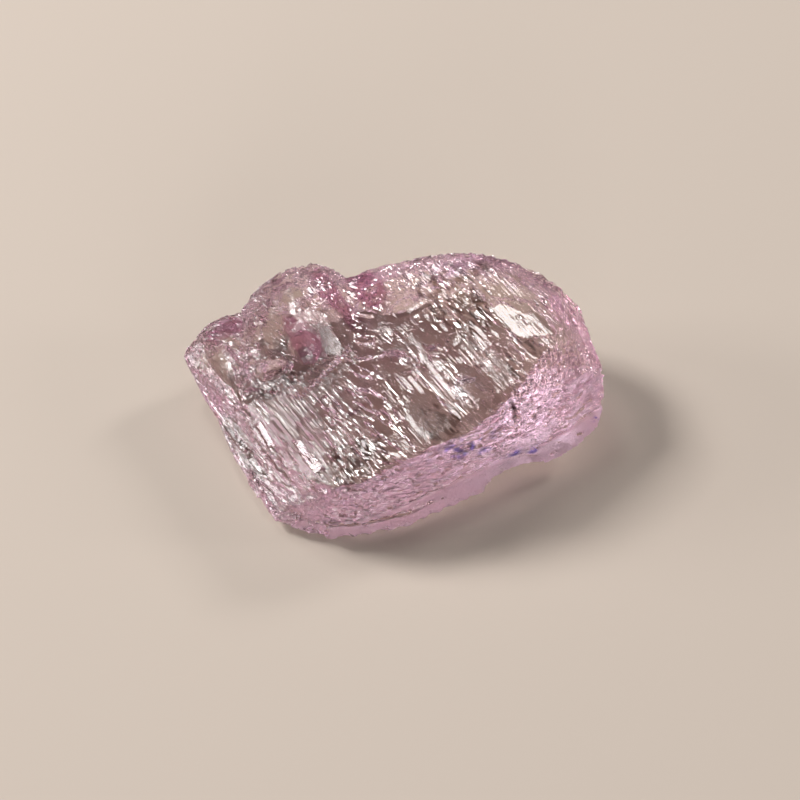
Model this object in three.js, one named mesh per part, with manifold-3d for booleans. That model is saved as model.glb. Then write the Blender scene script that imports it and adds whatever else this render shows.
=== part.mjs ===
// A raw kunzite fragment, one natural piece of clear lilac-pink spodumene.
// Millimetres, +Z up, X along the longest side, the etched pink end face toward -Y.
// Five flat-faced blocks join into the body. Dishes are cut from it first, then the cleavage steps,
// etch pits and scallops, each set on the real surface by a ray, and last come the small lumps.

import * as THREE from 'three';
import { ConvexGeometry } from 'three/addons/geometries/ConvexGeometry.js';
import { mergeVertices } from 'three/addons/utils/BufferGeometryUtils.js';
import Module from 'manifold-3d';

const wasm = await Module();
wasm.setup();

// Driving dimensions
const GRAIN_ANGLE = THREE.MathUtils.degToRad(-57.5); // the crystal's long axis seen from above
const TERRACE_WIDTH = 1.9; // widest flat cleavage terrace on the top
const TERRACE_DEPTH = 0.32;
const STEP_WIDTH = 0.7; // widest narrow cleavage step
const STEP_DEPTH = 0.3;
const RAMP_SHARE = 0.38; // share of a step's length taken by the ramp at each end
const RUN_OUT = 0.03; // depth of a step on the side away from its riser
const PIT_LENGTH = 1.5; // longest etch pit on the end face
const PIT_DEPTH = 0.34;
const SCALLOP_RADIUS = 1.2; // bites along the foot of the end face
const FOOT_TOP = 2.3; // height of the shelf along the foot of the end face
const FOOT_BULGE = 0.35; // how far that foot stands out from the end face
const SCALLOP_COUNT = 12;
const SCALLOP_HEIGHT = 0.9; // height at which the scallops meet the foot
const RIB_PITCH = 0.52; // spacing of the ribs on the left wall of the big dish
const RIB_COUNT = 8;
const RIB_DEPTH = 0.16;
const SLIT_WIDTH = 0.4;
const SLIT_DEPTH = 0.75;
const LUMP_RADIUS = 0.75; // largest lump beside the big dish

const CLEAR = 0.12; // how far a cutter stands proud of the face it cuts
const UNEVEN = 0.45; // how far a face may leave its own plane along one step
const FAR = 60; // where rays start, outside the stone
const ROUND_SIDES = 18; // sides of the rounded dishes
const SMALL_ROUND_SIDES = 10; // sides of the scallops

const UP = new THREE.Vector3(0, 0, 1);
const GRAIN = new THREE.Vector3(Math.cos(GRAIN_ANGLE), Math.sin(GRAIN_ANGLE), 0);
const ACROSS = new THREE.Vector3(-GRAIN.y, GRAIN.x, 0);
const MIDDLE = new THREE.Vector3(0, 1, 5);

// Corners of the high right-hand block, which carries the clear table
const MASSIF_TABLE = [
  [1.0, -10.7, 9.2], [7.0, -7.9, 9.8], [10.1, -4.8, 10.3], [13.1, -0.8, 10.9], [15.6, 3.6, 11.2],
  [14.5, 7.8, 11.4], [11.7, 10.6, 11.3], [6.5, 13.4, 11.1], [2.6, 13.3, 10.7], [-0.9, 13.0, 10.1],
  [-1.3, 8.8, 10.0], [-1.6, 4.5, 9.8], [-1.4, 0.0, 9.6], [-0.7, -5.0, 9.4],
];
const MASSIF_SHOULDER = [
  [2.8, 14.5, 10.2], [6.2, 15.0, 10.4], [9.3, 14.8, 10.3], [11.8, 14.0, 10.1], [14.1, 12.8, 9.8],
  [16.3, 11.1, 9.3], [17.7, 9.2, 9.0], [18.1, 8.0, 8.8], [18.9, 4.8, 8.5], [19.8, 2.1, 7.5],
  [20.0, 1.0, 6.0], [-0.9, 14.2, 9.4], [-4.0, 13.4, 8.7], [-4.2, 9.0, 8.7], [-3.2, 4.6, 8.7],
  [-2.6, 0.0, 8.5], [-3.9, -6.0, 8.0], [-3.2, -10.6, 7.7],
];
const MASSIF_FOOT = [
  [19.7, -0.2, 4.0], [19.3, -1.4, 3.0], [17.6, -3.0, 2.4], [15.8, -4.0, 2.0], [12.4, -3.9, 2.0],
  [8.6, -6.6, 1.5], [4.8, -9.1, 0.8], [1.5, -11.1, 0.1], [17.6, 8.6, 3.4], [14.2, 12.6, 3.2],
  [8.0, 15.2, 3.8], [-0.5, 14.6, 3.4],
];
const MASSIF_BASE = [
  [1.0, -10.7, 0], [5.6, -6.9, 0], [9.6, -2.0, 0], [11.6, 3.0, 0], [10.6, 8.6, 0], [5.6, 11.8, 0],
  [-2.0, 11.8, 0],
];

// Corners of the lower left-hand block, whose top carries the finest grain
const WEDGE_TOP = [
  [-12.6, -1.2, 7.1], [-9.4, -6.4, 7.2], [-6.4, -11.2, 7.1], [-5.5, -12.3, 7.2], [-2.9, -12.2, 7.7],
  [1.2, -10.7, 8.9], [4.2, -9.2, 8.6], [-13.2, 2.5, 7.0], [-4.9, 13.2, 8.8], [-1.0, 13.9, 9.0],
  [1.4, 0.0, 9.2], [-4.6, 14.0, 4.2], [-0.4, 14.4, 4.0],
];
const WEDGE_BEVEL = [[-14.4, -1.9, 5.9], [-11.6, -7.3, 5.3], [-8.4, -11.2, 5.2]];
const WEDGE_FOOT = [
  [-17.2, 0.3, 3.1], [-16.3, -1.9, 2.6], [-14.5, -5.8, 2.1], [-13.1, -7.7, 1.6], [-11.0, -11.2, 1.0],
  [-9.6, -11.8, 0.9], [-7.7, -12.2, 0.5], [-5.9, -12.9, 0.5], [-4.0, -12.8, 0.4], [-2.2, -12.4, 0.3],
  [1.5, -11.2, 0.3], [5.2, -8.7, 0.9],
];
const WEDGE_BASE = [
  [-15.2, -0.4, 0], [-12.9, -5.6, 0], [-10.2, -10.4, 0], [-6.2, -12.2, 0], [-3.0, -12.1, 0],
  [1.0, -10.9, 0], [0.0, 11.6, 0], [-8.0, 10.6, 0],
];

// Plan line of the foot that stands out along the end face, left to right
const FOOT_LINE = [
  [-7.7, -11.9], [-5.9, -12.6], [-4.0, -12.6], [-2.1, -12.2], [1.6, -11.1], [5.2, -8.7], [8.4, -6.7],
];

// Corners of the block at the back left, which holds the big shell-shaped dish
const LOBE_RIM = [
  [-14.9, 10.3, 6.9], [-14.0, 11.4, 8.1], [-12.8, 12.2, 9.0], [-10.3, 13.5, 10.0], [-8.0, 13.7, 10.4],
  [-6.8, 13.5, 10.1], [-7.1, 9.2, 9.9], [-5.9, 5.7, 9.4], [-4.8, 3.0, 9.0], [-8.8, -1.9, 7.8],
  [-11.5, 0.0, 7.5], [-14.3, 0.3, 7.0],
];
const LOBE_FOOT = [
  [-5.0, 13.9, 8.4], [-4.2, 9.0, 8.4], [-3.2, 4.4, 8.4], [-14.6, 9.9, 2.4], [-12.4, 12.4, 3.0],
  [-7.2, 14.2, 3.6], [-4.0, 14.2, 4.0], [-12.6, 7.2, 0], [-7.6, 11.4, 0], [-3.0, 11.8, 0],
  [-14.8, 0.4, 0.6], [-5.0, 0.0, 0.6],
];

// Corners of the blunt knob at the left tip
const KNOB = [
  [-20.6, 6.0, 5.0], [-20.1, 6.8, 5.5], [-18.3, 9.1, 6.4], [-16.3, 9.8, 6.9], [-14.6, 10.3, 6.9],
  [-18.7, 6.3, 6.7], [-16.6, 5.9, 7.1], [-14.0, 4.4, 7.4], [-14.3, -1.8, 5.9], [-20.1, 5.2, 4.1],
  [-18.3, 2.2, 3.5], [-17.2, 0.1, 3.0], [-19.2, 6.4, 2.2], [-16.4, 9.2, 2.4], [-16.4, 0.6, 0.6],
  [-13.6, 6.4, 0], [-15.4, 0.2, 0],
];

// Corners of the smooth gleaming facet at the right of the table
const GLEAM = [
  [8.8, 8.2, 10.95], [10.0, 4.8, 10.5], [11.9, 2.8, 10.5], [15.0, 1.4, 10.6], [15.4, 3.6, 10.9],
  [13.4, 7.4, 11.05],
];

function vector([x, y, z]) {
  return new THREE.Vector3(x, y, z);
}

// A repeatable spread of numbers from 0 to 1
function spread(index, salt) {
  const value = Math.sin(index * 12.9898 + salt * 78.233) * 43758.5453;
  return value - Math.floor(value);
}

function between(low, high, index, salt) {
  return low + (high - low) * spread(index, salt);
}

function solidOf(geometry) {
  geometry.deleteAttribute('normal');
  geometry.deleteAttribute('uv');
  const merged = mergeVertices(geometry, 1e-4);
  return new wasm.Manifold(new wasm.Mesh({
    numProp: 3,
    vertProperties: new Float32Array(merged.attributes.position.array),
    triVerts: new Uint32Array(merged.index.array),
  }));
}

function geometryOf(solid) {
  const mesh = solid.getMesh();
  const geometry = new THREE.BufferGeometry();
  geometry.setAttribute('position', new THREE.BufferAttribute(new Float32Array(mesh.vertProperties), 3));
  geometry.setIndex(new THREE.BufferAttribute(new Uint32Array(mesh.triVerts), 1));
  return geometry;
}

function surfaceOf(solid) {
  return new THREE.Mesh(geometryOf(solid), new THREE.MeshBasicMaterial());
}

function block(corners) {
  return solidOf(new ConvexGeometry(corners));
}

// An ellipsoid cutter, with its long axis turned to an angle seen from above
function dish({ centre, radii, turn = 0, sides = ROUND_SIDES }) {
  const geometry = new THREE.SphereGeometry(1, sides, Math.round(sides / 2));
  geometry.scale(...radii);
  geometry.rotateZ(turn);
  geometry.translate(...centre);
  return solidOf(geometry);
}

// The paler foot of the end face: a low band that stands out from it and runs back into the stone
function footCorners() {
  const undercut = 0.45 * FOOT_TOP;
  return FOOT_LINE.flatMap(([x, y]) => [
    [x, y - FOOT_BULGE, FOOT_TOP],
    [x, y + FOOT_BULGE, FOOT_TOP + 2 * FOOT_BULGE],
    [x, y - FOOT_BULGE, undercut],
    [x, y + 2 * FOOT_BULGE, 0],
    [0.7 * x, y + 4, FOOT_TOP],
  ]);
}

function body() {
  const massif = [...MASSIF_TABLE, ...MASSIF_SHOULDER, ...MASSIF_FOOT, ...MASSIF_BASE];
  const wedge = [...WEDGE_TOP, ...WEDGE_BEVEL, ...WEDGE_FOOT, ...WEDGE_BASE];
  const lobe = [...LOBE_RIM, ...LOBE_FOOT];
  return [massif, wedge, lobe, KNOB, footCorners()]
    .map((corners) => block(corners.map(vector)))
    .reduce((joined, next) => joined.add(next));
}

// The big dish with its deeper hollows, the arched hollow of the knob and the pit beside its neck
function scoops() {
  return [
    dish({ centre: [-10.7, 4.6, 12.6], radii: [10.6, 5.9, 5.2], turn: -1.45 }),
    dish({ centre: [-9.2, 9.6, 12.2], radii: [4.6, 5.2, 3.7], turn: 0.3 }),
    dish({ centre: [-8.6, 4.4, 8.3], radii: [2.6, 1.5, 2.1], turn: -1.2 }),
    dish({ centre: [-11.4, 1.9, 8.2], radii: [2.1, 1.3, 1.9], turn: 0.4 }),
    dish({ centre: [-13.4, 6.2, 9.0], radii: [2.8, 1.3, 1.7], turn: -1.3 }),
    dish({ centre: [-16.2, 3.2, 7.5], radii: [4.4, 1.6, 1.7], turn: GRAIN_ANGLE }),
    dish({ centre: [-15.8, 8.2, 7.9], radii: [1.8, 1.2, 1.3], turn: 0.5 }),
  ];
}

// Smooth shell-shaped windows on the table, and the gleaming facet at its right
function windows() {
  const facet = GLEAM.map(vector);
  const raised = facet.map((corner) => corner.clone().addScaledVector(UP, 2));
  return [
    dish({ centre: [0.8, 7.3, 11.5], radii: [3.5, 1.9, 1.9], turn: 0.5 }),
    dish({ centre: [-0.1, 0.9, 11.1], radii: [2.4, 1.9, 1.9], turn: -0.4 }),
    dish({ centre: [7.4, 8.2, 13.2], radii: [3.0, 1.6, 2.5], turn: GRAIN_ANGLE }),
    block([...facet, ...raised]),
  ];
}

// Broad hollows low on the sides: the raised foot at the right front, and shallow ones behind and below
function flankHollows() {
  return [
    dish({ centre: [12.0, -7.3, 0.6], radii: [4.0, 2.9, 4.4], turn: 0.45 }),
    dish({ centre: [3.0, 19.2, 3.2], radii: [5.0, 5.2, 3.6], turn: 0.1 }),
    dish({ centre: [-10.8, 15.6, 3.4], radii: [3.2, 4.4, 2.6], turn: 0.5 }),
    dish({ centre: [19.2, 12.6, 4.2], radii: [3.6, 4.6, 3.0], turn: -0.8 }),
    dish({ centre: [15.8, 3.2, -2.6], radii: [4.2, 3.2, 4.4], turn: 0.3 }),
  ];
}

// What a ray meets first: the point and the outward direction of the face there
const caster = new THREE.Raycaster();
function meet(target, from, direction) {
  caster.set(from, direction);
  const [first] = caster.intersectObject(target);
  return first ? { point: first.point, outward: first.face.normal.clone() } : null;
}

function meetFromAbove(target, x, y) {
  return meet(target, new THREE.Vector3(x, y, FAR), UP.clone().negate());
}

function meetFromBelow(target, x, y) {
  return meet(target, new THREE.Vector3(x, y, -FAR), UP);
}

function meetFromSide(target, azimuth, height) {
  const outward = new THREE.Vector3(Math.cos(azimuth), Math.sin(azimuth), 0);
  const from = MIDDLE.clone().addScaledVector(outward, FAR);
  from.z = height;
  return meet(target, from, outward.negate());
}

// A cleavage step between two places on one face: a shallow tray with a tilted floor and ramped ends
function tray(start, end, width, leftDepth, rightDepth) {
  if (!start || !end) return null;
  const lengthways = end.point.clone().sub(start.point);
  const length = lengthways.length();
  lengthways.normalize();
  const midway = start.point.clone().lerp(end.point, 0.5);
  if (Math.abs(end.point.clone().sub(start.point).dot(start.outward)) > UNEVEN) return null;
  const crossways = new THREE.Vector3().crossVectors(start.outward, lengthways).normalize();
  const outward = new THREE.Vector3().crossVectors(lengthways, crossways);
  const clear = CLEAR + UNEVEN;
  const ramp = RAMP_SHARE * length;
  const corners = [];
  for (const side of [-1, 1]) {
    for (const tip of [-1, 1]) {
      const depth = side < 0 ? leftDepth : rightDepth;
      const rim = midway.clone()
        .addScaledVector(lengthways, (tip * length) / 2)
        .addScaledVector(crossways, (side * width) / 2);
      const floor = rim.clone().addScaledVector(lengthways, -tip * ramp).addScaledVector(outward, -depth);
      corners.push(rim.addScaledVector(outward, clear), floor);
    }
  }
  return block(corners);
}

// Rows of trays along the grain, with their start points spread over a band of the top or the underside
function grainTrays(target, band) {
  const { rows, acrossFrom, acrossTo, alongFrom, alongTo, length, width, depth, salt } = band;
  const look = band.below ? meetFromBelow : meetFromAbove;
  const cutters = [];
  for (let row = 0; row < rows; row += 1) {
    const across = acrossFrom + (acrossTo - acrossFrom) * ((row + 0.8 * spread(row, salt)) / rows);
    const along = between(alongFrom, alongTo, row, salt + 1);
    const place = GRAIN.clone().multiplyScalar(along).addScaledVector(ACROSS, across);
    const rowLength = length * between(0.45, 1, row, salt + 2);
    const rowWidth = width * between(0.45, 1, row, salt + 3);
    const riser = depth * between(0.35, 1, row, salt + 4);
    const risesLeft = spread(row, salt + 5) < 0.5;
    const left = risesLeft ? riser : RUN_OUT;
    const right = risesLeft ? RUN_OUT : riser;
    const start = look(target, place.x, place.y);
    const end = look(target, place.x + GRAIN.x * rowLength, place.y + GRAIN.y * rowLength);
    cutters.push(tray(start, end, rowWidth, left, right));
  }
  return cutters;
}

function allTrays(target) {
  const table = { acrossFrom: -3.5, acrossTo: 14.5, alongFrom: -8.5, alongTo: 4 };
  const left = { acrossFrom: -13.2, acrossTo: -3.5, alongFrom: -3.5, alongTo: 3 };
  const flank = { acrossFrom: -15.4, acrossTo: -13.2, alongFrom: -5, alongTo: 4 };
  const under = { acrossFrom: 4, acrossTo: 14, alongFrom: -7, alongTo: 1, below: true };
  const terrace = { width: TERRACE_WIDTH, depth: TERRACE_DEPTH };
  const step = { width: STEP_WIDTH, depth: STEP_DEPTH };
  return [
    ...grainTrays(target, { ...table, ...terrace, rows: 17, length: 8, salt: 1 }),
    ...grainTrays(target, { ...left, ...terrace, rows: 11, length: 7, salt: 11 }),
    ...grainTrays(target, { ...table, ...step, rows: 30, length: 8, salt: 21 }),
    ...grainTrays(target, { ...left, ...step, rows: 24, length: 8, salt: 31 }),
    ...grainTrays(target, { ...flank, ...step, rows: 16, length: 6, salt: 41 }),
    ...grainTrays(target, { ...under, ...terrace, rows: 9, length: 8, salt: 101 }),
  ];
}

// A flat-sided etch pit: a hipped roof turned inward, with its ridge off the middle
const PIT_RIM = [[-0.5, -0.35], [0.5, -0.25], [0.42, 0.5], [-0.45, 0.4]];
const PIT_FLOOR = [[-0.15, 0], [0.2, 0.05]];
function pit({ point, outward }, lean, length, width, depth) {
  const level = new THREE.Vector3().crossVectors(UP, outward).normalize();
  const lengthways = level.applyAxisAngle(outward, lean);
  const crossways = new THREE.Vector3().crossVectors(outward, lengthways);
  const place = ([u, v], rise) => point.clone()
    .addScaledVector(lengthways, u * length)
    .addScaledVector(crossways, v * width)
    .addScaledVector(outward, rise);
  return block([
    ...PIT_RIM.map((corner) => place(corner, CLEAR)),
    ...PIT_FLOOR.map((corner) => place(corner, -depth)),
  ]);
}

// Pits spread over a stretch of the sides, seen as angles round the middle of the stone
function sidePits(target, { from, to, low, high, columns, rows, size, salt }) {
  const cutters = [];
  for (let index = 0; index < columns * rows; index += 1) {
    const column = Math.floor(index / rows);
    const row = index % rows;
    const azimuth = from + (to - from) * ((column + 0.9 * spread(index, salt)) / columns);
    const height = low + (high - low) * ((row + 0.9 * spread(index, salt + 1)) / rows);
    const place = meetFromSide(target, THREE.MathUtils.degToRad(azimuth), height);
    const length = size * between(0.45, 1, index, salt + 2);
    const width = length * between(0.3, 0.65, index, salt + 3);
    const depth = PIT_DEPTH * between(0.5, 1, index, salt + 4);
    const lean = between(-0.45, 0.45, index, salt + 5);
    if (place) cutters.push(pit(place, lean, length, width, depth));
  }
  return cutters;
}

function allSidePits(target) {
  const endFace = { from: -123, to: -8, low: 1.2, high: 9, size: PIT_LENGTH };
  const back = { from: -5, to: 120, low: 2, high: 8.5, size: 1.3 * PIT_LENGTH };
  const backLeft = { from: 120, to: 172, low: 2, high: 5.5, size: PIT_LENGTH };
  return [
    ...sidePits(target, { ...endFace, columns: 22, rows: 4, salt: 51 }),
    ...sidePits(target, { ...back, columns: 10, rows: 3, salt: 61 }),
    ...sidePits(target, { ...backLeft, columns: 5, rows: 2, salt: 71 }),
  ];
}

// The dark slit that cuts into the end face below the corner of the table
function slit(target) {
  const start = meetFromSide(target, THREE.MathUtils.degToRad(-24.5), 9.6);
  const end = meetFromSide(target, THREE.MathUtils.degToRad(-27.5), 7.9);
  return tray(start, end, SLIT_WIDTH, SLIT_DEPTH, 0.8 * SLIT_DEPTH);
}

// Short ribs across the left wall of the big dish
function ribs(target) {
  const outer = { x: -14.2, y: 5.6 };
  const inner = { x: -12.9, y: 5.25 };
  const cutters = [];
  for (let rib = 0; rib < RIB_COUNT; rib += 1) {
    const start = meetFromAbove(target, outer.x, outer.y + rib * RIB_PITCH);
    const end = meetFromAbove(target, inner.x, inner.y + rib * RIB_PITCH);
    cutters.push(tray(start, end, 0.6 * RIB_PITCH, RIB_DEPTH, 0.6 * RIB_DEPTH));
  }
  return cutters;
}

// Shell-shaped bites that leave the foot of the end face scalloped
function footScallops(target) {
  const from = THREE.MathUtils.degToRad(-118);
  const to = THREE.MathUtils.degToRad(-30);
  const cutters = [];
  for (let bite = 0; bite < SCALLOP_COUNT; bite += 1) {
    const azimuth = from + (to - from) * ((bite + 0.5 * spread(bite, 81)) / SCALLOP_COUNT);
    const { point, outward } = meetFromSide(target, azimuth, SCALLOP_HEIGHT);
    const radius = SCALLOP_RADIUS * between(0.7, 1.15, bite, 82);
    point.addScaledVector(outward, 0.72 * radius);
    point.z = 0.35 * radius;
    const radii = [radius, radius, 1.1 * radius];
    cutters.push(dish({ centre: point.toArray(), radii, sides: SMALL_ROUND_SIDES }));
  }
  return cutters;
}

// Small lumps on the rough ground between the knob and the big dish, and a few inside the dish
function lumps(target) {
  const places = [
    [-15.4, 5.6], [-14.4, 4.6], [-15.0, 3.4], [-13.6, 3.0], [-14.6, 1.8], [-13.2, 1.6], [-14.2, 6.6],
    [-11.9, 5.0], [-9.9, 8.2], [-10.2, 3.9], [-8.6, 9.6], [-11.2, 9.8],
  ];
  return places.map(([x, y], index) => {
    const { point } = meetFromAbove(target, x, y);
    const radius = LUMP_RADIUS * between(0.65, 1, index, 91);
    const lump = new THREE.DodecahedronGeometry(radius);
    lump.rotateX(between(0, 2 * Math.PI, index, 92));
    lump.rotateZ(between(0, 2 * Math.PI, index, 93));
    lump.scale(1, 0.8, 0.75);
    lump.translate(point.x, point.y, point.z - 0.3 * radius);
    return solidOf(lump);
  });
}

function cut(solid, cutters) {
  return cutters.filter(Boolean).reduce((rest, cutter) => rest.subtract(cutter), solid);
}

function crystalGeometry() {
  const dished = cut(body(), [...scoops(), ...windows(), ...flankHollows()]);
  const surface = surfaceOf(dished);
  const detail = [
    ...allTrays(surface),
    ...allSidePits(surface),
    ...ribs(surface),
    ...footScallops(surface),
    slit(surface),
  ];
  const carved = cut(dished, detail);
  const solid = lumps(surface).reduce((joined, lump) => joined.add(lump), carved);
  const geometry = geometryOf(solid);
  geometry.computeBoundingBox();
  const { min, max } = geometry.boundingBox;
  geometry.translate(-(min.x + max.x) / 2, -(min.y + max.y) / 2, -min.z);
  geometry.computeVertexNormals();
  return geometry;
}

const crystal = new THREE.Mesh(
  crystalGeometry(),
  new THREE.MeshStandardMaterial({ color: 0xd9b3bf, roughness: 0.15, metalness: 0 }),
);
crystal.name = 'kunzite_crystal';

const kunzite = new THREE.Group();
kunzite.add(crystal);

export default kunzite;
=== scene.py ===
# Looks of a raw kunzite fragment: one clear lilac-pink crystal on a plain pale floor.
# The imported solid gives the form. A finer copy of it, with mesh cells stretched along the grain,
# gets cleavage treads and fibres, an etched end face, a sugary dish and a rough underside.

import math

import bpy
import numpy as np
from mathutils import Matrix, Vector
from mathutils.bvhtree import BVHTree


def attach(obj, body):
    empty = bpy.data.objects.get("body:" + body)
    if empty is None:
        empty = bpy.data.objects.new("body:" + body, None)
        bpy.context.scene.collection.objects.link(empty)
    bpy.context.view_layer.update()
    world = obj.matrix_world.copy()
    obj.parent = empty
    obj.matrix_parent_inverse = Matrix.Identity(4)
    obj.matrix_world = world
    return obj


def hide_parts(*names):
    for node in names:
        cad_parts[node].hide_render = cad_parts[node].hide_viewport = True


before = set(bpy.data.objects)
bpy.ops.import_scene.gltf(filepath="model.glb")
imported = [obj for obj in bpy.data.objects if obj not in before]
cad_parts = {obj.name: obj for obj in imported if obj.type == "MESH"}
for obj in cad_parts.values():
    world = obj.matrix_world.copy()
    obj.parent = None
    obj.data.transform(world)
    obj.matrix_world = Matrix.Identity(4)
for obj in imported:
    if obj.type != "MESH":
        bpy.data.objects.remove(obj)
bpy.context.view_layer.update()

MM = 0.001
NODE = "kunzite_crystal"

# The fine mesh: cell size across the grain in millimetres, and how much longer the cells are along it
CELL = 0.132
STRETCH = 2.8

# Directions. The grain is the crystal's long axis seen from above.
GRAIN_ANGLE = math.radians(-57.5)
GRAIN = np.array([math.cos(GRAIN_ANGLE), math.sin(GRAIN_ANGLE), 0.0])
ACROSS = np.array([-GRAIN[1], GRAIN[0], 0.0])
UP = np.array([0.0, 0.0, 1.0])

# Regions of the surface, as ellipsoids whose three radii run along the grain, across it and upward.
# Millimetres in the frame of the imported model. First the hollows and the larger parts of the stone.
DISH = [
    {"centre": (-10.2, 5.2, 8.0), "radii": (8.6, 4.8, 3.4)},
    {"centre": (-12.6, 0.6, 7.2), "radii": (3.6, 3.0, 1.8)},
]
KNOB = [{"centre": (-16.6, 4.6, 6.0), "radii": (6.0, 3.4, 3.0)}]
FLANK = [{"centre": (-11.6, -8.2, 4.6), "radii": (9.5, 3.0, 4.6)}]
LEFT_TABLE = [
    {"centre": (-7.2, -5.6, 7.6), "radii": (6.5, 5.6, 2.4)},
    {"centre": (-3.0, 4.2, 9.4), "radii": (5.0, 1.8, 1.4)},
]
RIM = [
    {"centre": (9.5, 12.0, 10.9), "radii": (2.6, 7.0, 1.6)},
    {"centre": (15.5, 7.0, 10.6), "radii": (4.5, 2.0, 1.8)},
]

# Smooth windows, bright white plumes, quiet stretches and broken patches of the top
WINDOWS = [
    {"centre": (1.1, 6.2, 10.0), "radii": (1.9, 3.5, 1.4)},
    {"centre": (0.2, -0.2, 9.6), "radii": (2.2, 2.4, 1.4)},
    {"centre": (3.5, 2.9, 10.2), "radii": (1.9, 1.5, 1.2)},
    {"centre": (3.6, -6.9, 9.7), "radii": (3.4, 1.8, 1.2)},
    {"centre": (7.8, -3.7, 10.2), "radii": (2.4, 1.3, 1.2)},
    {"centre": (12.8, 1.4, 11.0), "radii": (2.8, 1.1, 1.2)},
]
PLUMES = [
    {"centre": (3.9, -1.8, 9.9), "radii": (5.2, 1.2, 1.5)},
    {"centre": (-7.7, -9.7, 7.2), "radii": (4.0, 1.3, 1.6)},
    {"centre": (-9.4, -6.0, 7.2), "radii": (6.0, 2.6, 2.0)},
    {"centre": (8.9, -0.3, 10.6), "radii": (4.6, 1.1, 1.2)},
]
CALM = [
    {"centre": (-1.8, -5.6, 9.2), "radii": (5.4, 2.6, 1.6)},
    {"centre": (0.9, -9.0, 9.3), "radii": (2.6, 3.2, 1.6)},
]
CROSSED = [
    {"centre": (6.2, 7.6, 10.8), "radii": (4.0, 4.2, 1.6)},
    {"centre": (9.4, 1.4, 10.8), "radii": (5.0, 1.6, 1.6)},
    {"centre": (3.6, 10.6, 10.8), "radii": (2.6, 4.5, 1.6)},
]
SPECKLE = [
    {"centre": (-3.6, -11.6, 8.2), "radii": (2.4, 4.2, 1.6)},
    {"centre": (0.6, -11.4, 8.8), "radii": (2.0, 2.6, 1.4)},
]
GROOVE = [
    {"centre": (-2.6, 10.0, 9.6), "radii": (4.4, 2.2, 1.8)},
    {"centre": (-4.6, 6.4, 9.4), "radii": (6.0, 1.1, 1.6)},
]

# Small marks: ribs of the dish, glittering ledges of the end face, pink stains, and painted light: dark
# painted shade in the slit, violet dots of painted reflection and brown painted shade
RIBS = [{"centre": (-13.4, 7.5, 7.8), "radii": (2.6, 1.4, 1.8)}]
GLITTER = [{"centre": (-4.0, -13.6, 5.0), "radii": (2.5, 4.6, 2.2)}]
# The slit is darkened with painted shade
SLIT = [{"centre": (11.4, -5.9, 9.0), "radii": (1.4, 0.34, 1.4)}]
DEEP_PINK = [
    {"centre": (-8.0, 4.3, 7.2), "radii": (3.4, 1.3, 2.4)},
    {"centre": (-15.9, 6.7, 6.6), "radii": (1.4, 2.0, 1.4)},
]
STEEP_PINK = [
    {"centre": (-5.3, 8.4, 9.4), "radii": (4.6, 1.2, 1.8)},
    {"centre": (-2.4, 9.9, 9.6), "radii": (3.8, 1.8, 1.6)},
    {"centre": (-3.2, -5.1, 8.5), "radii": (0.4, 1.3, 1.0)},
]
# Violet painted reflection: dots that stand for internal reflections on the end face and along its upper
# edge
VIOLET_REFLECTIONS = [{"centre": (6.8, -9.4, 8.1), "radii": (1.6, 3.4, 1.2)}]
REFLECTION_SPOTS = [(6.6, -9.5, 7.1), (8.6, -8.5, 6.6), (11.6, -7.2, 4.6), (13.3, -6.3, 4.2), (19.7, -1.9, 3.9)]
REFLECTION_DOTS = [{"centre": spot, "radii": (0.9, 0.7, 0.36)} for spot in REFLECTION_SPOTS]
# Brown painted shade: stands for the shadowed floor and the dark underside seen through the top, and for the
# shade in the crevice under the lip of the dish
BROWN_SHADE = [
    {"centre": (-3.6, -11.6, 8.2), "radii": (2.6, 4.4, 1.8)},
    {"centre": (-14.7, -4.8, 3.4), "radii": (5.6, 1.3, 1.3)},
    {"centre": (-10.4, -1.2, 7.6), "radii": (0.9, 4.2, 1.0)},
    {"centre": (6.6, 5.6, 11.0), "radii": (3.6, 3.0, 1.2)},
    {"centre": (12.8, 1.4, 11.0), "radii": (2.8, 1.1, 1.2)},
    {"centre": (4.6, -7.6, 9.8), "radii": (2.0, 2.6, 1.0)},
    {"centre": (5.6, 9.4, 10.9), "radii": (1.8, 4.4, 1.2)},
]

# Flat facets of the top, as corners seen from above and counted anticlockwise. Pale ones are milky too.
GLEAMS = [
    [(12.2, 2.1), (15.6, 1.9), (13.6, 4.5), (10.6, 6.6), (8.9, 6.2)],
    [(2.4, 1.4), (2.8, -1.2), (5.6, -5.7), (6.3, -5.4), (4.6, -1.9), (3.4, 0.4)],
    [(8.9, 0.6), (9.8, 0.9), (8.4, 3.4), (7.5, 3.0)],
    [(-7.6, 7.6), (-6.6, 7.0), (-7.1, 10.2), (-8.3, 10.8)],
]
FLANK_GLEAMS = [
    [(-12.7, -4.8), (-11.2, -7.7), (-10.6, -7.6), (-12.0, -4.8)],
    [(-9.0, -8.0), (-7.9, -10.2), (-6.5, -11.9), (-6.0, -11.2), (-8.3, -7.8)],
]
PALE_FACETS = [[(-6.4, 1.6), (-3.7, 1.0), (-6.2, 5.2), (-7.1, 5.7)]]
FACET_LOWEST = 5.0
FACET_EDGE = (-0.05, 0.12)
FACET_SINK = 0.05
FACET_REACH = (-0.9, 0.6)
FLATNESS = 0.88

# The paler foot of the end face: its top at the middle of the stone, the rise of that top for each
# millimetre to the right, where it stops rising, its soft edge, and how far it stands out
FOOT_TOP = 3.4
FOOT_RISE = 0.12
FOOT_HIGHEST = 4.6
FOOT_EDGE = (-0.3, 0.1)
FOOT_BULGE = 0.25

# Ranges over which a face changes from one kind to the next, as parts of its normal: upward,
# downward, along the grain, against ACROSS, and upward again for three other purposes
FACES_UP = (0.55, 0.8)
FACES_DOWN = (0.3, 0.7)
FACES_GRAIN = (0.5, 0.72)
FACES_LEFT = (0.3, 0.5)
FACET_FACES_UP = (0.3, 0.6)
LEAVES_STEEP = (0.6, 0.85)
LEAVES_SIDE = (0.5, 0.8)

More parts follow.
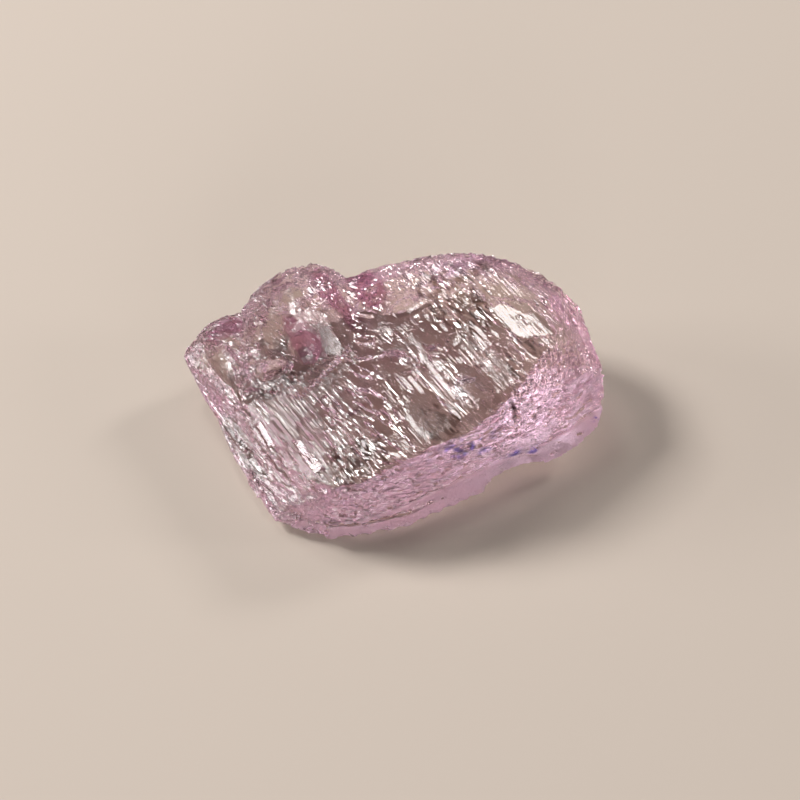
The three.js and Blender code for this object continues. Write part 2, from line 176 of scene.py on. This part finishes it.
# Cleavage treads and gleaming facets lean across the grain to catch the back light. The lean in degrees
# at the middle of the stone grows by so much for each millimetre across it. On the flank they face the
# low light at the left. Treads that don't catch the light turn away from it by a slope.
CATCH_LEAN = 11.5
CATCH_DRIFT = 0.25
FLANK_LEAN = 47.0
TURN_AWAY = 0.2
STEEPEST_TREAD = 0.6

# Share of the treads that catch the light, and what each kind of surface adds to it
CATCHING = 0.32
CATCHING_ADDED = {"plume": 0.4, "flank": 0.3, "groove": -0.25, "calm": -0.22}

# Widths of steps, and the share of each that its tread takes before the riser
WIDE_STEP = 0.9
NARROW_STEP = 0.5
STEP_TREAD = 0.85
CATCH_LENGTH = 3.5
LEDGE_STEP = 0.6
LEDGE_TREAD = 0.7
LEDGE_SLOPE = 0.5

# Heights of the fine relief in millimetres
TERRACE_HEIGHT = 0.3
SHARD_HEIGHTS = {"crossed": 0.08, "speckle": 0.07, "groove": 0.08}
RIPPLE_HEIGHT = 0.26
ETCHED_CHIP_HEIGHT = 0.16
SIDE_CHIP_HEIGHT = 0.11
RIGHT_CHIP_ADDED = 0.09
SUGAR_HEIGHT = 0.24
SUGAR_CHIP_HEIGHT = 0.06
RIB_HEIGHT = 0.07
UNDERSIDE_HEIGHT = 0.12
SWELL_HEIGHT = 0.16
FIBRE_DEPTH = 0.015
PATCHY_FIBRE_ADDED = 0.035
PLUME_FIBRE_ADDED = 0.05

# Sizes of the features that aren't stretched along the grain, in millimetres
SUGAR_SIZE = 1.4
SUGAR_CHIP_SIZE = 0.4
SWELL_SIZE = 4.0
BLOTCH_SIZE = 0.8
REFLECTION_DOT_SIZE = 0.3
VIOLET_DOT_SIZE = (0.5, 0.5, 0.35)
RIB_PITCH = 0.45
RIB_SLANT = 0.25

# The relief fades in between these heights above the resting face
REST_FADE = (0.05, 0.8)

# Frosting of each kind of surface, as roughness
FROST = {"dish": 0.24, "plume": 0.08, "window": 0.12, "end": 0.1}
FIBROUS_FROST = 0.17
DEEP_FROST = 0.08
POLISH = 0.02

# The crystal: refractive index, absorption, the tint of the clear table, whose brown-grey is painted shade
# of the shadowed floor seen through it, and the tints painted over it one after the other, brown and dark as
# painted shade and violet as painted reflection
INDEX = 1.66
ABSORPTION = 13.0
ABSORPTION_TINT = (0.97, 0.32, 0.68)
TABLE_TINT = (0.87, 0.8, 0.745)
PAINTED_TINTS = [
    ("milky", (0.97, 0.89, 0.9)),
    ("sides", (0.98, 0.86, 0.97)),
    # brown painted shade
    ("brown_shade", (0.26, 0.18, 0.15)),
    ("pink", (0.3, 0.1, 0.17)),
    # violet painted reflection
    ("violet_reflection", (0.06, 0.04, 0.4)),
    # dark painted shade
    ("dark_shade", (0.04, 0.018, 0.02)),
]

# Bump textures: noise cells per metre along the grain, across it and upward, and depths in millimetres
HAZE_CELLS = (250, 900, 900)
FIBRE_CELLS = (170, 4300, 4300)
SUGAR_CELLS = (2600, 2600, 2600)
SAW_PERIOD = 0.3
SAW_STRETCH = 40
SAW_TIP = math.radians(30)
SAW_DEPTH = 0.06
FIBRE_BUMP_DEPTH = 0.045
SUGAR_BUMP_DEPTH = 0.1

# Floor and lamps in metres, and the light of the room
FLOOR_HALF = 1.5
FLOOR_DROP = 0.03 * MM
FLOOR_TINT = (0.61, 0.525, 0.455)
LAMP_DISTANCE = 0.9
LAMP_TINT = (1.0, 0.985, 0.97)
ROOM_TINT = (0.8, 0.78, 0.77)
ROOM_LIGHT = 0.03

# Camera of the photograph, in millimetres
CAMERA_ELEVATION = math.radians(48.0)
CAMERA_DISTANCE = 180.0
CAMERA_TARGET = (0.9, -1.125, 5.3)
LENS = 85.0
SENSOR = 36.0

# Start numbers of the repeatable noise, one for each feature
SEED = {
    "terraces": 1, "wide steps": 11, "narrow steps": 12, "fibres": 21, "patches": 25, "ripples": 31,
    "ledges": 37, "etched chips": 41, "sugar": 51, "sugar chips": 61, "swells": 71, "shards": 81,
    "side chips": 85, "underside": 91, "plumes": 201, "speckle": 211, "crossed": 221, "brown_shade": 231,
    "facets": 241, "reflected_dots": 251, "blotches": 301, "dots": 311, "specks": 321, "flecks": 331, "borders": 401,
}

# Mixing numbers of the lattice noise
NOISE_PRIMES = (73856093, 19349663, 83492791)
SEED_PRIME = 2654435761
STIR_PRIME = 1274126177
LOW_32_BITS = 0xFFFFFFFF
LOW_24_BITS = 0xFFFFFF


def unit_noise(cells, seed):
    """Repeatable numbers from 0 to 1, one for each whole-number lattice point."""
    x, y, z = (cells[..., axis].astype(np.int64) * NOISE_PRIMES[axis] for axis in range(3))
    mixed = x ^ y ^ z ^ (seed * SEED_PRIME)
    mixed = (mixed ^ (mixed >> 13)) & LOW_32_BITS
    mixed = (mixed * STIR_PRIME) & LOW_32_BITS
    mixed = mixed ^ (mixed >> 16)
    return (mixed & LOW_24_BITS) / float(LOW_24_BITS)


def smooth_noise(points, seed):
    """Value noise from 0 to 1 at points given in lattice units."""
    base = np.floor(points)
    part = points - base
    part = part * part * (3 - 2 * part)
    total = np.zeros(len(points))
    for corner in np.ndindex(2, 2, 2):
        weight = np.ones(len(points))
        for axis, side in enumerate(corner):
            weight = weight * (part[:, axis] if side else 1 - part[:, axis])
        total += weight * unit_noise(base + corner, seed)
    return total


def layered_noise(points, seed):
    """Value noise with a finer layer of half the strength on top, from 0 to 1."""
    return (smooth_noise(points, seed) + smooth_noise(points * 2, seed + 1) / 2) / 1.5


def chips(points, seed):
    """Flat-sided chips: each scattered point owns a plane of its own tilt, cut off where the next begins."""
    base = np.floor(points)
    nearest = np.full(len(points), np.inf)
    height = np.zeros(len(points))
    for corner in np.ndindex(3, 3, 3):
        cell = base + np.array(corner) - 1
        spot = np.stack([unit_noise(cell, seed + k) for k in range(3)], -1)
        tilt = np.stack([unit_noise(cell, seed + k) for k in range(3, 6)], -1) * 2 - 1
        offset = points - cell - spot
        distance = np.linalg.norm(offset, axis=1)
        closer = distance < nearest
        nearest = np.where(closer, distance, nearest)
        height = np.where(closer, (offset * tilt).sum(1), height)
    return height


def ease(value, low, high):
    """Rises smoothly from 0 at the low value to 1 at the high one."""
    t = np.clip((value - low) / (high - low), 0, 1)
    return t * t * (3 - 2 * t)


def stairs(value, levels, sharpness):
    """Turns a smooth field into flat terraces with steep risers."""
    scaled = value * levels
    part = scaled - np.floor(scaled)
    return (np.floor(scaled) + ease(part, sharpness, 1.0)) / levels


def lattice(points, across, along, up=None):
    """Points in a lattice whose cells have these sizes. Upward they are as wide as across by default."""
    height = points[:, 2] / (up or across)
    return np.stack([points @ ACROSS / across, points @ GRAIN / along, height], -1)


def inside(points, regions, softness=0.3):
    """One inside any of the ellipsoid regions, zero outside, with a soft and slightly uneven border."""
    best = np.zeros(len(points))
    uneven = 0.5 * (layered_noise(lattice(points, across=0.8, along=2.6), SEED["borders"]) - 0.5)
    for region in regions:
        offset = points - region["centre"]
        local = np.stack([offset @ GRAIN, offset @ ACROSS, offset[:, 2]], -1) / np.array(region["radii"])
        reach = np.linalg.norm(local, axis=1) + uneven
        best = np.maximum(best, 1 - ease(reach, 1 - softness, 1 + softness))
    return best


def ragged(points, mask, seed, size=1.1):
    """A region mask whose border is broken up along the grain."""
    noise = layered_noise(lattice(points, across=size, along=4 * size), seed)
    return ease(mask + 0.9 * (noise - 0.5), low=0.3, high=0.6)


def weighted(share, weights):
    """The named shares added up, each times its own weight."""
    return sum(share[name] * weight for name, weight in weights.items())


def facet_share(points, normals, corners):
    """One inside a straight-edged outline drawn on the top of the stone, zero outside."""
    share = (points[:, 2] > FACET_LOWEST) * ease(normals[:, 2], *FACET_FACES_UP)
    for (x, y), (next_x, next_y) in zip(corners, corners[1:] + corners[:1]):
        across_edge = np.array([y - next_y, next_x - x]) / math.hypot(next_x - x, next_y - y)
        share = share * ease((points[:, :2] - (x, y)) @ across_edge, *FACET_EDGE)
    return share


def any_facet(points, normals, facets):
    return np.max([facet_share(points, normals, corners) for corners in facets], axis=0)


def masks(points, normals):
    """Shares from 0 to 1 of each kind of surface at each point."""
    facing_up = ease(normals[:, 2], *FACES_UP)
    end = ease(np.abs(normals @ GRAIN), *FACES_GRAIN) * (1 - facing_up)
    not_under = 1 - ease(-normals[:, 2], *FACES_DOWN)
    dish = inside(points, DISH + KNOB) * not_under
    window = inside(points, WINDOWS, softness=0.2) * facing_up
    leftward = ease(-(normals @ ACROSS), *FACES_LEFT)
    plume = ragged(points, inside(points, PLUMES, softness=0.6), SEED["plumes"], size=0.5)
    groove = inside(points, GROOVE) * (1 - dish)
    crossed = ragged(points, inside(points, CROSSED, softness=0.5), SEED["crossed"]) * facing_up
    foot_top = np.minimum(FOOT_TOP + FOOT_RISE * points[:, 0], FOOT_HIGHEST)
    return {
        "gleam": any_facet(points, normals, GLEAMS + FLANK_GLEAMS),
        "end": end,
        "under": 1 - not_under,
        "dish": dish * (1 - end),
        "window": window,
        "plume": plume * (1 - end) * (1 - dish),
        "flank": inside(points, FLANK) * leftward * (1 - end) * (1 - dish) * not_under,
        "groove": groove,
        "speckle": ragged(points, inside(points, SPECKLE), SEED["speckle"]) * facing_up,
        "crossed": crossed * (1 - window),
        "calm": inside(points, CALM, softness=0.5) * facing_up,
        "foot": (1 - ease(points[:, 2] - foot_top, *FOOT_EDGE)) * not_under,
        "grained": (1 - end) * (1 - dish) * (1 - window) * not_under * (1 - 0.7 * groove),
    }


def catching_lean(across):
    return np.radians(CATCH_LEAN + CATCH_DRIFT * across)


def catching_slope(points, normals, flank):
    """Slope that a tread needs, against the surface under it, to mirror a lamp into the camera."""
    lean = (1 - flank) * catching_lean(points @ ACROSS) + flank * math.radians(FLANK_LEAN)
    facing = np.cos(lean)[:, None] * UP - np.sin(lean)[:, None] * ACROSS
    direction = ACROSS - UP
    along_surface = direction - (normals @ direction)[:, None] * normals
    slope = -((facing - normals) * along_surface).sum(1) / (along_surface**2).sum(1).clip(0.1)
    return np.clip(slope, -STEEPEST_TREAD, STEEPEST_TREAD)


def step_profile(part, tread_share, middle):
    """Height across one step, from 0 to 1 of its width: the tread rises and the riser falls back."""
    riser = tread_share * (1 - part) / (1 - tread_share)
    return np.where(part < tread_share, part, riser) - middle


def sawtooth(points, slope, catching, width, seed):
    """Parallel cleavage steps with steep risers. A tread catches the light along some of its length."""
    drift = 1.6 * width * layered_noise(lattice(points, across=3 * width, along=18.0), seed)
    steps = (points @ ACROSS - points[:, 2] + drift) / width
    number = np.floor(steps)
    tread = step_profile(steps - number, STEP_TREAD, middle=0.4)
    place = np.stack([number, points @ GRAIN / CATCH_LENGTH, np.zeros(len(points))], -1)
    catches = ease(smooth_noise(place, seed + 5), low=1.0 - catching, high=1.12 - catching)
    return tread * width * (slope - TURN_AWAY * (1 - catches))


def ledges(points, seed):
    """Small level ledges on an upright face. Their tops lean upward in scattered patches."""
    drift = 1.2 * layered_noise(points / (1.4, 1.4, 1.0), seed)
    steps = points[:, 2] / LEDGE_STEP + drift
    number = np.floor(steps)
    tread = step_profile(steps - number, LEDGE_TREAD, middle=0.35)
    place = np.stack([number, points[:, 0] / 0.7, points[:, 1] / 0.7], -1)
    leaning = ease(smooth_noise(place, seed + 5), low=0.45, high=0.6)
    return -LEDGE_SLOPE * LEDGE_STEP * tread * leaning


def cleavage(points, normals, share, patchy):
    """Broad terraces with wide and narrow steps on them, all along the grain."""
    broad = layered_noise(lattice(points, across=2.2, along=40.0), SEED["terraces"])
    terraces = TERRACE_HEIGHT * (stairs(broad, levels=5, sharpness=0.92) - 0.5)
    slope = catching_slope(points, normals, share["flank"])
    catching = CATCHING + weighted(share, CATCHING_ADDED)
    steps = sawtooth(points, slope, catching, WIDE_STEP, SEED["wide steps"]) * (1 - patchy)
    steps += sawtooth(points, slope, catching, NARROW_STEP, SEED["narrow steps"]) * patchy
    return share["grained"] * (terraces + (1 - 0.6 * share["speckle"]) * steps)


def etching(points, share):
    """Ripples, chips and ledges of the end face, and its smoother foot, which stands out a little."""
    cells = lattice(points, across=1.8, along=1.2, up=0.55)
    ripples = RIPPLE_HEIGHT * (layered_noise(cells, SEED["ripples"]) - 0.5)
    ripples += ETCHED_CHIP_HEIGHT * chips(cells / 0.8, SEED["etched chips"])
    glitter = 0.15 + 0.85 * inside(points, GLITTER, softness=0.5)
    etched = (1 - 0.75 * share["foot"]) * (ripples + glitter * ledges(points, SEED["ledges"]))
    return share["end"] * (etched + FOOT_BULGE * share["foot"])


def side_chips(points, normals, share):
    """Splinters of the steep sides, coarser at the right of the stone."""
    steep = share["grained"] * (1 - ease(normals[:, 2], *LEAVES_STEEP))
    height = SIDE_CHIP_HEIGHT + RIGHT_CHIP_ADDED * ease(points[:, 0], low=5.0, high=11.0)
    return steep * height * chips(lattice(points, across=0.55, along=5.0), SEED["side chips"])


def sugary_dish(points, share):
    """Small lumps and chips of the dish and the knob, and the ribs on the wall of the dish."""
    ribbed = inside(points, RIBS)
    sugar = SUGAR_HEIGHT * (layered_noise(points / SUGAR_SIZE, SEED["sugar"]) - 0.5)
    sugar += SUGAR_CHIP_HEIGHT * chips(points / SUGAR_CHIP_SIZE, SEED["sugar chips"])
    ribs = np.sin(2 * math.pi * (points[:, 1] + RIB_SLANT * points[:, 0]) / RIB_PITCH)
    return share["dish"] * (1 - 0.8 * ribbed) * sugar + RIB_HEIGHT * ribbed * ribs


def flatten(points, normals, height, corners, lean):
    """Presses one facet onto a plane through its middle that leans across the grain."""
    share = ragged(points, facet_share(points, normals, corners), SEED["facets"], size=0.5)
    middle = points[share > 0.5].mean(0)
    facing = UP * math.cos(lean) - ACROSS * math.sin(lean)
    level = (middle - points) @ facing / np.maximum(normals @ facing, 0.5)
    pressed = FLATNESS * share
    return height * (1 - pressed) + pressed * np.clip(level - FACET_SINK, *FACET_REACH)


def facets(points, normals, height):
    """The relief with its flat facets pressed in."""
    for corners in GLEAMS + PALE_FACETS:
        lean = float(catching_lean(np.mean(corners, axis=0) @ ACROSS[:2]))
        height = flatten(points, normals, height, corners, lean)
    for corners in FLANK_GLEAMS:
        height = flatten(points, normals, height, corners, math.radians(FLANK_LEAN))
    return height


def fibres(points, share, patchy):
    """Depth of the fine fibres that run along the grain."""
    fibre = np.abs(2 * smooth_noise(lattice(points, across=0.34, along=4.5), SEED["fibres"]) - 1)
    depth = FIBRE_DEPTH + PATCHY_FIBRE_ADDED * patchy + PLUME_FIBRE_ADDED * share["plume"]
    return share["grained"] * (1 - 0.7 * share["gleam"]) * depth * fibre


def relief(points, normals, share):
    """Height of the fine relief in millimetres, outward."""
    patches = layered_noise(lattice(points, across=1.3, along=7.0), SEED["patches"])
    patchy = ease(patches, low=0.47, high=0.54)
    height = cleavage(points, normals, share, patchy)
    shards = chips(lattice(points, across=0.55, along=1.0), SEED["shards"])
    height += weighted(share, SHARD_HEIGHTS) * shards
    height += etching(points, share)
    height += side_chips(points, normals, share)
    height += sugary_dish(points, share)
    under_chips = chips(lattice(points, across=1.6, along=5.0), SEED["underside"])
    height += UNDERSIDE_HEIGHT * share["under"] * under_chips
    swells = smooth_noise(points / SWELL_SIZE, SEED["swells"])
    height += SWELL_HEIGHT * (swells - 0.5) * (1 - share["under"])
    height = facets(points, normals, height) - fibres(points, share, patchy)
    return height * np.maximum(ease(points[:, 2], *REST_FADE), share["under"])


def coloured_marks(points, share, blotches, deep):
    """Painted shares of the pink pits and of painted light: violet dots of painted reflection, brown painted
    shade in specks and over the dish, and dark painted shade in the slit and in flecks.
    """
    pink = 0.24 * share["dish"] + 1.4 * deep + inside(points, STEEP_PINK, softness=0.4)
    dots = ease(smooth_noise(points / VIOLET_DOT_SIZE, SEED["dots"]), low=0.58, high=0.68)
    drops = ease(smooth_noise(points / REFLECTION_DOT_SIZE, SEED["reflected_dots"]), low=0.3, high=0.45)
    brown_shade = ragged(points, inside(points, BROWN_SHADE, softness=0.5), SEED["brown_shade"])
    speck_noise = layered_noise(lattice(points, across=0.45, along=0.9), SEED["specks"])
    specks = ease(speck_noise, low=0.42, high=0.58)
    fleck_noise = layered_noise(lattice(points, across=0.4, along=1.6), SEED["flecks"])
    flecked = 0.8 * ease(fleck_noise, low=0.6, high=0.68) * np.maximum(brown_shade, share["crossed"])
    violet_reflection = inside(points, VIOLET_REFLECTIONS, softness=0.4) * dots
    reflected_dots = inside(points, REFLECTION_DOTS, softness=0.5) * drops
    return {
        "pink": np.clip(pink * (0.5 + blotches), 0, 1),
        "violet_reflection": np.maximum(violet_reflection, reflected_dots),
        "brown_shade": np.maximum(brown_shade * specks, share["dish"] * (0.38 + 0.5 * blotches)),
        "dark_shade": np.maximum(inside(points, SLIT), flecked),
    }


def surface_finish(points, normals, share, blotches, deep):
    """Painted shares of frosting, milkiness, fibres and the lilac tone of the sides."""
    fibrous = np.maximum(inside(points, LEFT_TABLE, softness=0.4), share["flank"]) * share["grained"]
    frost = weighted(share, FROST) + FIBROUS_FROST * fibrous + DEEP_FROST * deep
    frost += share["end"] * (0.16 * blotches + 0.2 * share["foot"])
    pale = any_facet(points, normals, PALE_FACETS)
    fibred = share["grained"] * (0.45 + 0.55 * share["plume"])
    rim = 0.8 * inside(points, RIM, softness=0.5)
    sides = np.maximum(1 - ease(normals[:, 2], *LEAVES_SIDE), rim)
    return {
        "frost": np.clip(frost, 0, 1) * (1 - share["gleam"]),
        "milky": np.max([fibrous, pale, 0.6 * share["calm"]], axis=0),
        "fibres": fibred * (1 - 0.5 * share["gleam"]),
        "sides": sides * (1 - share["flank"]) * (1 - share["under"]),
    }


def stretched_frame():
    """Turns the grain onto X and shortens it, so that a cubic mesh comes back stretched along it."""
    return Matrix.Diagonal((1 / STRETCH, 1, 1, 1)) @ Matrix.Rotation(-GRAIN_ANGLE, 4, "Z")


def remeshed(mesh):
    """An even mesh over the same surface, its cells stretched along the grain."""
    draft = bpy.data.objects.new("draft", mesh.copy())
    draft.data.transform(stretched_frame())
    bpy.context.scene.collection.objects.link(draft)
    remesh = draft.modifiers.new("remesh", "REMESH")
    remesh.mode = "VOXEL"
    remesh.voxel_size = CELL * MM
    shaped = draft.evaluated_get(bpy.context.evaluated_depsgraph_get())
    fine = bpy.data.meshes.new_from_object(shaped)
    fine.transform(stretched_frame().inverted())
    bpy.data.objects.remove(draft)
    return fine


def press_onto(mesh, source):
    """Moves each vertex to the nearest place on the solid. Gives back the places in metres."""
    solid = BVHTree.FromPolygons([v.co for v in source.vertices], [p.vertices[:] for p in source.polygons])
    places = np.array([solid.find_nearest(v.co)[0] for v in mesh.vertices])
    mesh.vertices.foreach_set("co", places.ravel())
    mesh.update()
    return places


def vertex_normals(mesh):
    values = np.zeros(len(mesh.vertices) * 3)
    mesh.vertices.foreach_get("normal", values)
    return values.reshape(-1, 3)


def paint(mesh, shares):
    """Keeps numbers for each vertex, by name, for the material to read."""
    for name, values in shares.items():
        layer = mesh.attributes.new(name, "FLOAT", "POINT")
        layer.data.foreach_set("value", values.astype(np.float32))


def fine_crystal():
    """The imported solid's surface on a finer mesh, with its relief and its painted shares."""
    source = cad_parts[NODE].data
    mesh = remeshed(source)
    points = press_onto(mesh, source) / MM
    normals = vertex_normals(mesh)
    share = masks(points, normals)
    moved = points + normals * relief(points, normals, share)[:, None]
    moved[:, 2] = np.maximum(moved[:, 2], 0)
    mesh.vertices.foreach_set("co", (moved * MM).ravel())

    blotches = layered_noise(points / BLOTCH_SIZE, SEED["blotches"])
    deep = inside(points, DEEP_PINK, softness=0.4)
    paint(mesh, coloured_marks(points, share, blotches, deep))
    paint(mesh, surface_finish(points, normals, share, blotches, deep))
    mesh.polygons.foreach_set("use_smooth", np.zeros(len(mesh.polygons), bool))
    mesh.update()
    crystal = bpy.data.objects.new("crystal", mesh)
    bpy.context.scene.collection.objects.link(crystal)
    return crystal


def add_node(tree, kind, settings=None, inputs=None):
    made = tree.nodes.new(kind)
    for name, value in (settings or {}).items():
        setattr(made, name, value)
    for name, value in (inputs or {}).items():
        made.inputs[name].default_value = value
    return made


def painted(tree, name):
    return add_node(tree, "ShaderNodeAttribute", {"attribute_name": name}).outputs["Fac"]


def combine(tree, operation, first, second):
    """A maths node over two sockets or numbers."""
    node = add_node(tree, "ShaderNodeMath", {"operation": operation})
    for slot, value in zip(node.inputs, (first, second)):
        if isinstance(value, (int, float)):
            slot.default_value = value
        else:
            tree.links.new(value, slot)
    return node.outputs[0]


def tinted(tree, share, plain, tint):
    """Mixes a tint over a plain colour, which is a tuple or a socket."""
    mix = add_node(tree, "ShaderNodeMix", {"data_type": "RGBA"})
    tree.links.new(share, mix.inputs["Factor"])
    below, above = mix.inputs[6], mix.inputs[7]
    above.default_value = (*tint, 1)
    if isinstance(plain, tuple):
        below.default_value = (*plain, 1)
    else:
        tree.links.new(plain, below)
    return mix.outputs[2]


def grain_place(tree, scale, tip=0.0):
    """The crystal's own coordinates, turned so that the grain is X, tipped about it and scaled."""
    place = add_node(tree, "ShaderNodeTexCoord").outputs["Object"]
    for step in ({"Rotation": (0, 0, -GRAIN_ANGLE)}, {"Rotation": (tip, 0, 0)}, {"Scale": scale}):
        mapping = add_node(tree, "ShaderNodeMapping", inputs=step)
        tree.links.new(place, mapping.inputs["Vector"])
        place = mapping.outputs["Vector"]
    return place


def grain_noise(tree, cells, detail):
    noise = add_node(tree, "ShaderNodeTexNoise", inputs={"Scale": 1.0, "Detail": detail})
    tree.links.new(grain_place(tree, cells), noise.inputs["Vector"])
    return noise.outputs["Fac"]


def saw_lines(tree):
    """Fine saw-shaped lines along the grain, wandering a little."""
    wave_at_scale_one = 2 * math.pi / 20
    across = wave_at_scale_one / (SAW_PERIOD * MM)
    wave = add_node(tree, "ShaderNodeTexWave", {"bands_direction": "Y", "wave_profile": "SAW"},
                    {"Scale": 1.0, "Distortion": 6.0, "Detail": 2.0, "Detail Scale": 1.5})
    place = grain_place(tree, (across / SAW_STRETCH, across, across), SAW_TIP)
    tree.links.new(place, wave.inputs["Vector"])
    return wave.outputs["Fac"]


def bumped(tree, height, strength, depth_mm, below=None):
    bump = add_node(tree, "ShaderNodeBump", inputs={"Distance": depth_mm * MM})
    tree.links.new(height, bump.inputs["Height"])
    tree.links.new(strength, bump.inputs["Strength"])
    if below:
        tree.links.new(below, bump.inputs["Normal"])
    return bump.outputs["Normal"]


def strength_of(tree, name, factor, least):
    """Bump strength that follows a painted share."""
    return combine(tree, "ADD", combine(tree, "MULTIPLY", painted(tree, name), factor), least)


def surface_colour(tree):
    colour = TABLE_TINT
    for name, tint in PAINTED_TINTS:
        colour = tinted(tree, painted(tree, name), colour, tint)
    return colour


def surface_roughness(tree):
    """Frosting as painted, with hazy streaks where there are fibres."""
    streaks = combine(tree, "POWER", grain_noise(tree, HAZE_CELLS, 2.0), 3.0)
    haze = combine(tree, "MULTIPLY", streaks, 0.5)
    rough = combine(tree, "MULTIPLY", haze, painted(tree, "fibres"))
    rough = combine(tree, "ADD", rough, painted(tree, "frost"))
    return combine(tree, "ADD", rough, POLISH)


def surface_normal(tree):
    """Saw lines, then finer fibres, then the sugar of frosted places."""
    fibre_strength = strength_of(tree, "fibres", 0.8, 0.02)
    sugar_strength = strength_of(tree, "frost", 1.6, 0.03)
    saws = bumped(tree, saw_lines(tree), fibre_strength, SAW_DEPTH)
    lines = bumped(tree, grain_noise(tree, FIBRE_CELLS, 3.0), fibre_strength, FIBRE_BUMP_DEPTH, saws)
    return bumped(tree, grain_noise(tree, SUGAR_CELLS, 2.0), sugar_strength, SUGAR_BUMP_DEPTH, lines)


def crystal_material():
    """Clear lilac-pink spodumene: plain transmission, index and absorption, with striated bump."""
    material = bpy.data.materials.new("kunzite")
    material.use_nodes = True
    tree = material.node_tree
    tree.nodes.clear()
    output = add_node(tree, "ShaderNodeOutputMaterial")
    shader = add_node(tree, "ShaderNodeBsdfPrincipled", inputs={"IOR": INDEX, "Transmission Weight": 1.0})
    absorption = add_node(tree, "ShaderNodeVolumeAbsorption", inputs={"Density": ABSORPTION})
    absorption.inputs["Color"].default_value = (*ABSORPTION_TINT, 1)
    tree.links.new(shader.outputs["BSDF"], output.inputs["Surface"])
    tree.links.new(absorption.outputs["Volume"], output.inputs["Volume"])
    tree.links.new(surface_colour(tree), shader.inputs["Base Color"])
    tree.links.new(surface_roughness(tree), shader.inputs["Roughness"])
    tree.links.new(surface_normal(tree), shader.inputs["Normal"])
    return material


def floor_material():
    material = bpy.data.materials.new("pale_floor")
    material.use_nodes = True
    shader = material.node_tree.nodes["Principled BSDF"]
    shader.inputs["Base Color"].default_value = (*FLOOR_TINT, 1)
    shader.inputs["Roughness"].default_value = 0.9
    return material


def floor():
    signs = [(-1, -1), (1, -1), (1, 1), (-1, 1)]
    corners = [(x * FLOOR_HALF, y * FLOOR_HALF, -FLOOR_DROP) for x, y in signs]
    mesh = bpy.data.meshes.new("floor")
    mesh.from_pydata(corners, [], [(0, 1, 2, 3)])
    mesh.materials.append(floor_material())
    ground = bpy.data.objects.new("floor", mesh)
    bpy.context.scene.collection.objects.link(ground)


def area_light(name, azimuth, elevation, side, power):
    """A square softbox aimed at the stone, in degrees, metres and watts. Azimuth zero is along +X."""
    data = bpy.data.lights.new(name, "AREA")
    data.size = side
    data.energy = power
    data.color = LAMP_TINT
    lamp = bpy.data.objects.new(name, data)
    bpy.context.scene.collection.objects.link(lamp)
    flat = math.cos(math.radians(elevation))
    direction = Vector((
        flat * math.cos(math.radians(azimuth)),
        flat * math.sin(math.radians(azimuth)),
        math.sin(math.radians(elevation)),
    ))
    lamp.location = direction * LAMP_DISTANCE
    lamp.rotation_euler = direction.to_track_quat("Z", "Y").to_euler()


def lights():
    area_light("key_left", azimuth=155, elevation=40, side=0.24, power=7.1)
    area_light("rim_back", azimuth=118, elevation=56, side=0.18, power=1.2)
    area_light("fill_right", azimuth=38, elevation=30, side=0.16, power=2.2)
    area_light("low_left", azimuth=176, elevation=16, side=0.27, power=2.8)
    area_light("low_right", azimuth=0, elevation=18, side=0.16, power=1.1)
    area_light("low_front", azimuth=-62, elevation=9, side=0.46, power=2.6)
    area_light("front_spark", azimuth=-90, elevation=8, side=0.22, power=1.9)
    world = bpy.data.worlds.new("room")
    world.use_nodes = True
    background = world.node_tree.nodes["Background"]
    background.inputs["Color"].default_value = (*ROOM_TINT, 1)
    background.inputs["Strength"].default_value = ROOM_LIGHT
    bpy.context.scene.world = world


def camera():
    data = bpy.data.cameras.new("camera")
    data.lens = LENS
    data.sensor_width = SENSOR
    data.clip_start = 0.01
    target = Vector(CAMERA_TARGET) * MM
    back = Vector((0, -math.cos(CAMERA_ELEVATION), math.sin(CAMERA_ELEVATION)))
    view = bpy.data.objects.new("camera", data)
    view.location = target + back * CAMERA_DISTANCE * MM
    view.rotation_euler = back.to_track_quat("Z", "Y").to_euler()
    bpy.context.scene.collection.objects.link(view)
    bpy.context.scene.camera = view


def light_paths():
    cycles = bpy.context.scene.cycles
    cycles.max_bounces = 24
    cycles.transmission_bounces = 20
    cycles.glossy_bounces = 8
    cycles.use_denoising = True
    bpy.context.scene.view_settings.view_transform = "Standard"


camera()
floor()
lights()
light_paths()
crystal = fine_crystal()
crystal.data.materials.clear()
crystal.data.materials.append(crystal_material())
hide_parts(NODE)
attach(crystal, "root")
